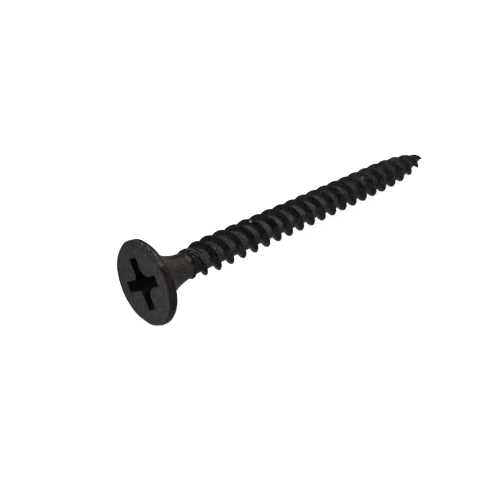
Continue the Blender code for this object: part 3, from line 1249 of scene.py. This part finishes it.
# %% [markdown]
# ### The rim
# The rim is dark, and on its upper front it knocked against other screws. There its rough coat shows light
# specks: partly coat worn off, partly painted sparkle where the rounded edge faces the overhead light, and
# brightest in one stretch, which is a painted highlight. Under the specks the upper side is painted darker,
# painted shade that keeps the overhead light from lifting it. Where the face ends a dark line is painted,
# painted shade for a small step there that isn't modelled. The border between face and rim isn't a circle,
# because the die wore unevenly, so it moves in and out with the side. The parts of the rim are worked out
# once, because the stains need them too.

# %% Parts of the rim
FACE_END, FACE_END_SOFTNESS = 3.62, 0.06
FACE_WIDER_BELOW = (250.0, 0.0, 72.5), 0.40
FACE_WIDER_BEHIND = (48.0, 18.2, 45.6), 0.24
RIM_END = (0.62, 0.04)
ABOVE_SIDE = (95.0, 36.9, 56.6)
RUBBED_AND_SPARKLE_SIDE, RUBBED_AND_SPARKLE_END = (102.0, 21.6, 32.9), (0.30, 0.06)
CALM_SIDE, CALM_END = (65.0, 14.1, 30.7), (0.20, 0.06)


def rim_parts(here):
    """Where the rim is, its upper part, where its coat is worn into specks and painted with sparkle, and what
    stayed calm there.
    """
    face_end = FACE_END
    for side, wider in (FACE_WIDER_BELOW, FACE_WIDER_BEHIND):
        face_end = here.side(*side) * wider + face_end
    rim = past(here.radius - face_end, 0.0, FACE_END_SOFTNESS) * before(here.along, *RIM_END)
    return {
        "rim": rim,
        "above": rim * here.side(*ABOVE_SIDE),
        "rubbed": here.side(*RUBBED_AND_SPARKLE_SIDE) * before(here.along, *RUBBED_AND_SPARKLE_END),
        "calm": here.side(*CALM_SIDE) * before(here.along, *CALM_END),
    }


widest = round(FACE_END + FACE_WIDER_BELOW[1], 2)
print("The face ends between", FACE_END, "and", widest, "mm from the axis")

# %% Shade of the rim
LOW_RIM = (250.0, 25.8, 78.5)
# Painted shade: the upper side of the rim is painted darker against the overhead light.
RIM_SHADE, RIM_SHADE_BELOW, RIM_PAINTED_SHADE_ABOVE = 0.0062, 0.009, 0.0035
# The rim's specks are worn coat and painted sparkle.
SPECK_GAIN, RUBBED_AND_SPARKLE_GAIN = 0.0045, 0.026
# Painted highlight on the brightest stretch of the rim's edge.
PAINTED_HIGHLIGHT_SIDE, PAINTED_HIGHLIGHT_GAIN = (115.0, 5.7, 14.1), 0.007
CALM_GAIN = 0.0065
BACK_SIDE, BACK_START, BACK_SHADE = (121.0, 9.9, 19.9), (0.40, 0.08), 0.0085
LINE_SIDE, LINE_DEPTH = (120.0, 16.3, 27.1), (0.19, 0.05)
LINE_START, LINE_END, LINE_SOFTNESS = 3.56, 3.66, 0.04
LINE_WIDER_SIDE, LINE_WIDER = (123.0, 8.1, 19.9), 0.12
# Painted shade in the line where the face ends.
LINE_WEIGHT, LINE_PAINTED_SHADE = 0.85, 0.006


def rim_shade(here, shade, parts):
    low_rim = leaning(RIM_SHADE, here.side(*LOW_RIM), RIM_SHADE_BELOW)
    shade = leaning(shade, parts["rim"], low_rim)
    # Painted highlight and painted sparkle on the upper front of the rim.
    brightest = here.side(*PAINTED_HIGHLIGHT_SIDE) * parts["rubbed"]
    specks = here.specks * (parts["rubbed"] * RUBBED_AND_SPARKLE_GAIN + SPECK_GAIN)
    bare_and_glinting = specks + brightest * PAINTED_HIGHLIGHT_GAIN + parts["calm"] * CALM_GAIN + RIM_PAINTED_SHADE_ABOVE
    shade = leaning(shade, parts["above"], bare_and_glinting)
    back = parts["rim"] * here.side(*BACK_SIDE) * past(here.along, *BACK_START)
    return leaning(shade, back, BACK_SHADE)


def painted_shade_line(here, shade):
    """The dark line where the face ends, painted shade for a small step there. It is wider in one place."""
    line_end = here.side(*LINE_WIDER_SIDE) * LINE_WIDER + LINE_END
    line = past(here.radius, LINE_START, LINE_SOFTNESS)
    line = line * before(here.radius - line_end, 0.0, LINE_SOFTNESS)
    line = line * here.side(*LINE_SIDE) * before(here.along, *LINE_DEPTH)
    return leaning(shade, line * LINE_WEIGHT, LINE_PAINTED_SHADE)


brightest_shade = RIM_PAINTED_SHADE_ABOVE + SPECK_GAIN + RUBBED_AND_SPARKLE_GAIN + PAINTED_HIGHLIGHT_GAIN
print("The brightest speck is", round(brightest_shade / RIM_SHADE, 1), "times as light as the rim")

# %% [markdown]
# ### Crystals and streaks in the shade
# So far the shade is clean. Multiplying by the crystals everywhere, and by the streaks on the thread, breaks
# it up by the same share in dark and in light places, as a real coat does. The face is also painted darker
# slowly towards one side, painted shade as the light falls across it, and darker along its upper edge.

# %% Break up the shade
GRAIN_FACTORS = (0.6, 1.4)
BLOTCH_FACTORS = (0.83, 1.17)
STREAK_FACTORS = (0.7, 1.3)
FACE_FACTOR, PAINTED_SHADE_ACROSS = 0.97, 0.055
HIGH_SIDE, HIGH_EDGE, HIGH_EDGE_FACTOR = (82.0, 14.1, 31.8), (3.375, 0.175), 0.84


def mottled(here, shade):
    shade = shade * ranging(here.grain, *GRAIN_FACTORS) * ranging(here.blotches, *BLOTCH_FACTORS)
    shade = scaled(shade, here.zone("thread"), ranging(here.round_streaks, *STREAK_FACTORS))
    face = largest(here.zone("face"), here.zone("edge"))
    # Painted shade: the face darker towards one side, as the light falls across it.
    shade = scaled(shade, face, here.across * -PAINTED_SHADE_ACROSS + FACE_FACTOR)
    high_edge = here.side(*HIGH_SIDE) * past(here.radius, *HIGH_EDGE)
    return scaled(shade, high_edge * face, HIGH_EDGE_FACTOR)


print("The face changes by", round(PAINTED_SHADE_ACROSS * HEAD_DIAMETER / MM * 100.0), "% across")

# %% [markdown]
# ### Nicks and painted glints
# Loose screws nick each other. A nick is bare steel a few tenths of a millimetre wide. That is too small to
# model, and noise can't place it, so a table holds the few that show. The same table holds three painted
# glints, painted highlights: two on the end of the neck and one far along the thread. The end of the lower
# wing of the recess is painted lighter as well, a painted highlight where its wall faces the light.

# %% Nicks, painted glints and painted light on a wing's end
# The first two and the last are painted highlights, glints on the neck's end and on the thread; the third is
# a nick.
NICKS_AND_GLINTS = (
    {"middle": (4.78, -0.52, 1.19), "reach": 0.20, "shade": 0.026, "least": 0.3},
    {"middle": (4.84, -0.75, 1.07), "reach": 0.18, "shade": 0.026, "least": 0.3},
    {"middle": (13.37, 0.11, 1.56), "reach": 0.12, "shade": 0.09, "least": 1.0},
    {"middle": (29.4, -0.38, 1.23), "reach": 0.22, "shade": 0.024, "least": 1.0},
)
# Painted light on the end of the lower wing, where its wall faces the light.
PAINTED_LIGHT_WING_END = {"middle": (0.35, -1.35, -2.0), "reach": 0.45, "shade": 0.005}


def bare_and_glinting_places(here, shade):
    """Adds the painted light on the end of the wing, then the nicks and the painted glints. Each entry's
    least is how much of it still shows between the crystals.
    """
    lit = here.spot(PAINTED_LIGHT_WING_END["middle"], PAINTED_LIGHT_WING_END["reach"]) * here.zone("recess")
    shade = leaning(shade, lit, PAINTED_LIGHT_WING_END["shade"])
    for mark in NICKS_AND_GLINTS:
        bare_and_glinting = here.spot(mark["middle"], mark["reach"]) * ranging(here.grain, mark["least"], 1.0)
        shade = leaning(shade, bare_and_glinting, mark["shade"])
    return shade


print("Nicks:", len(NICKS_AND_GLINTS))

# %% [markdown]
# ### Where the stains are
# Brown shows where the coat is thin: on the warm front of the neck, on the crests underneath, between the
# specks of the rim and on its front. Green shows at the end of the neck, below it, on the first crests and in
# the worn and sparkling part of the rim, and faintly on the face. Where several apply, the strongest wins.

# %% Tint of each place
WARM_NECK, WARM_FACTORS = ((1.8, 4.4, 0.5), (110.0, 18.2, 63.3)), (0.65, 1.15)
UNDER_CRESTS = (206.0, 16.3, 45.6)
BROWN_BETWEEN_SPECKS = 0.4
BROWN_RIM, BROWN_RIM_WEIGHT = (138.0, 11.5, 28.4), 0.35
GREEN_NECK_END = (3.4, 5.0, 0.4), (155.0, 18.2, 41.4)
GREEN_NECK_BELOW, NECK_BELOW_WEIGHT = ((0.9, 4.6, 0.4), (178.0, 31.8, 63.3)), 0.6
GREEN_CRESTS, GREEN_CRESTS_WEIGHT = (5.3, 7.2, 0.4), 0.5
GREEN_RUBBED_WEIGHT = 0.7
GREEN_FACE_WEIGHT, GREEN_ASIDE_WEIGHT = 0.15, 0.03
FACE_TINT_STRENGTH = 0.4


def tint_of(here, parts):
    brown = largest(
        here.patch(*WARM_NECK) * ranging(here.blotches, *WARM_FACTORS),
        here.side(*UNDER_CRESTS) * contrasted(here.zone("crest"), low=0.5, high=0.9),
        parts["above"] * parts["calm"].flipped() * here.specks.flipped() * BROWN_BETWEEN_SPECKS,
        parts["rim"] * parts["rubbed"].flipped() * here.side(*BROWN_RIM) * BROWN_RIM_WEIGHT,
    )
    face = largest(here.zone("face"), here.zone("edge"))
    green = largest(
        here.patch(*GREEN_NECK_END),
        here.patch(*GREEN_NECK_BELOW) * NECK_BELOW_WEIGHT,
        window(here.along, *GREEN_CRESTS) * GREEN_CRESTS_WEIGHT,
        parts["above"] * parts["rubbed"] * GREEN_RUBBED_WEIGHT,
        face * (here.across * here.across * GREEN_ASIDE_WEIGHT + GREEN_FACE_WEIGHT),
    )
    strength = ranging(here.zone("face"), 1.0, FACE_TINT_STRENGTH)
    stains = use_group(here.tree, STAINS, Place=here.place, Brown=brown, Green=green, Strength=strength)
    return stains["Tint"]


print("Strongest tint:", max(BROWN[:3]), "times the red of the coat")

# %% [markdown]
# ### The whole finish
# The steps run in order, because each one works on what the one before left. Black phosphate has hardly any
# gloss. The little that it has would lift the darkest places, so that share is taken off the paint again.
# Gloss and roughness are the same all over, so they are set on the shader's own sockets. A bump of a few
# hundredths of a millimetre lets the crystals, the marks of the dies and the ridges catch the light.

# %% Put the finish together
GLOSS = 0.03
GLOSS_SHADE = 0.0024
ROUGHNESS = 0.55
PAINT_GAIN = 1.36
DARKEST_PAINT = 0.0004
GRAIN_HEIGHT = 0.012
STREAK_HEIGHT = 0.02
RIDGE_HEIGHT = 0.04


def black_phosphate():
    material = bpy.data.materials.new("black_phosphate")
    material.use_nodes = True
    tree = material.node_tree
    shader = tree.nodes["Principled BSDF"]
    here = Surface(tree)
    parts = rim_parts(here)
    ridges, ridged = start_ridges(here)

    shade = leaning(zone_shade(here), here.zone("thread"), rolled_shade(here))
    shade = thread_start(here, shade, ridges, ridged)
    shade = neck_shade(here, shade)
    shade = painted_shade_line(here, rim_shade(here, shade, parts))
    shade = bare_and_glinting_places(here, mottled(here, shade))
    paint = largest(shade * PAINT_GAIN - GLOSS_SHADE, DARKEST_PAINT)
    colour = mixed(tree, 1.0, paint, tint_of(here, parts), "MULTIPLY")
    tree.links.new(colour, shader.inputs["Base Color"])
    shader.inputs["Specular IOR Level"].default_value = GLOSS
    shader.inputs["Roughness"].default_value = ROUGHNESS

    height = here.grain * GRAIN_HEIGHT + here.round_streaks * here.zone("thread") * STREAK_HEIGHT
    height = height + ridges * ridged * RIDGE_HEIGHT
    bump = add_node(tree, "ShaderNodeBump", Height=height, Distance=MM, Strength=1.0)
    tree.links.new(bump.outputs[0], shader.inputs["Normal"])
    return material


screw.data.materials.clear()
screw.data.materials.append(black_phosphate())
print("Nodes in the finish:", len(screw.data.materials[0].node_tree.nodes))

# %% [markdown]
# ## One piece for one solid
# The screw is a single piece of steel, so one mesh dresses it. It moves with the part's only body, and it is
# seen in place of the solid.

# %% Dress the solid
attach(screw, "root")
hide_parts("screw")
print("Dressed:", screw.name)

# %% [markdown]
# ## The floor
# The photograph has a white ground without an edge and almost no shadow. A wide pale plane does the same
# when the light is soft, comes from above and slightly overfills it. Its own grey is plain, so that no
# colour falls back on the screw.

# %% Floor
FLOOR_SIDE = 4.0
FLOOR_GREY = (0.5, 0.5, 0.5, 1.0)
FLOOR_ROUGHNESS = 0.9


def add_floor():
    half = FLOOR_SIDE / 2.0
    corners = [(-half, -half, 0.0), (half, -half, 0.0), (half, half, 0.0), (-half, half, 0.0)]
    mesh = bpy.data.meshes.new("floor")
    mesh.from_pydata(corners, [], [(0, 1, 2, 3)])
    floor = bpy.data.objects.new("floor", mesh)
    bpy.context.scene.collection.objects.link(floor)
    paint = bpy.data.materials.new("pale_floor")
    paint.use_nodes = True
    shader = paint.node_tree.nodes["Principled BSDF"]
    shader.inputs["Base Color"].default_value = FLOOR_GREY
    shader.inputs["Roughness"].default_value = FLOOR_ROUGHNESS
    mesh.materials.append(paint)
    return floor


floor = add_floor()
print("Floor:", [round(size, 2) for size in floor.dimensions], "m")

# %% [markdown]
# ## The light
# A screw for a catalogue is photographed on a light table under a wide soft lamp. A sun without shadows
# lifts the whole ground to white, and one large square lamp overhead gives the soft shading on the rim, the
# flare and the crests. The sky fills what is left. A smaller or lower lamp would put a hard shadow under
# the screw.

# %% Lights
SKYLIGHT_STRENGTH = 6.0
SKYLIGHT_SPREAD = math.radians(60.0)
SKYLIGHT_PLACE = (0.0, 0.0, 0.5)
SOFTBOX_PLACE = (0.05, 0.02, 0.40)
SOFTBOX_SIDE = 0.60
SOFTBOX_POWER = 1.8
SKY_STRENGTH = 0.35


def add_light(name, lamp, place):
    """Puts a lamp into the scene, facing the middle of the screw."""
    light = bpy.data.objects.new(name, lamp)
    light.location = place
    light.rotation_mode = "QUATERNION"
    light.rotation_quaternion = (-Vector(place)).to_track_quat("-Z", "Y")
    bpy.context.scene.collection.objects.link(light)
    print("Light:", name)


softbox = bpy.data.lights.new("overhead", "AREA")
softbox.shape = "SQUARE"
softbox.size = SOFTBOX_SIDE
softbox.energy = SOFTBOX_POWER
skylight = bpy.data.lights.new("skylight", "SUN")
skylight.energy = SKYLIGHT_STRENGTH
skylight.angle = SKYLIGHT_SPREAD
skylight.use_shadow = False
add_light("skylight", skylight, SKYLIGHT_PLACE)
add_light("overhead", softbox, SOFTBOX_PLACE)

# %% Sky and colours
sky = bpy.data.worlds.new("studio")
sky.use_nodes = True
sky.node_tree.nodes["Background"].inputs["Color"].default_value = WHITE
sky.node_tree.nodes["Background"].inputs["Strength"].default_value = SKY_STRENGTH
bpy.context.scene.world = sky
bpy.context.scene.view_settings.view_transform = "Standard"
print("Sky:", sky.name)

# %% [markdown]
# ## The last look at the size
# The dressed screw has to fill the same box as the solid, or a hand or a holder that was fitted to the solid
# would miss it.
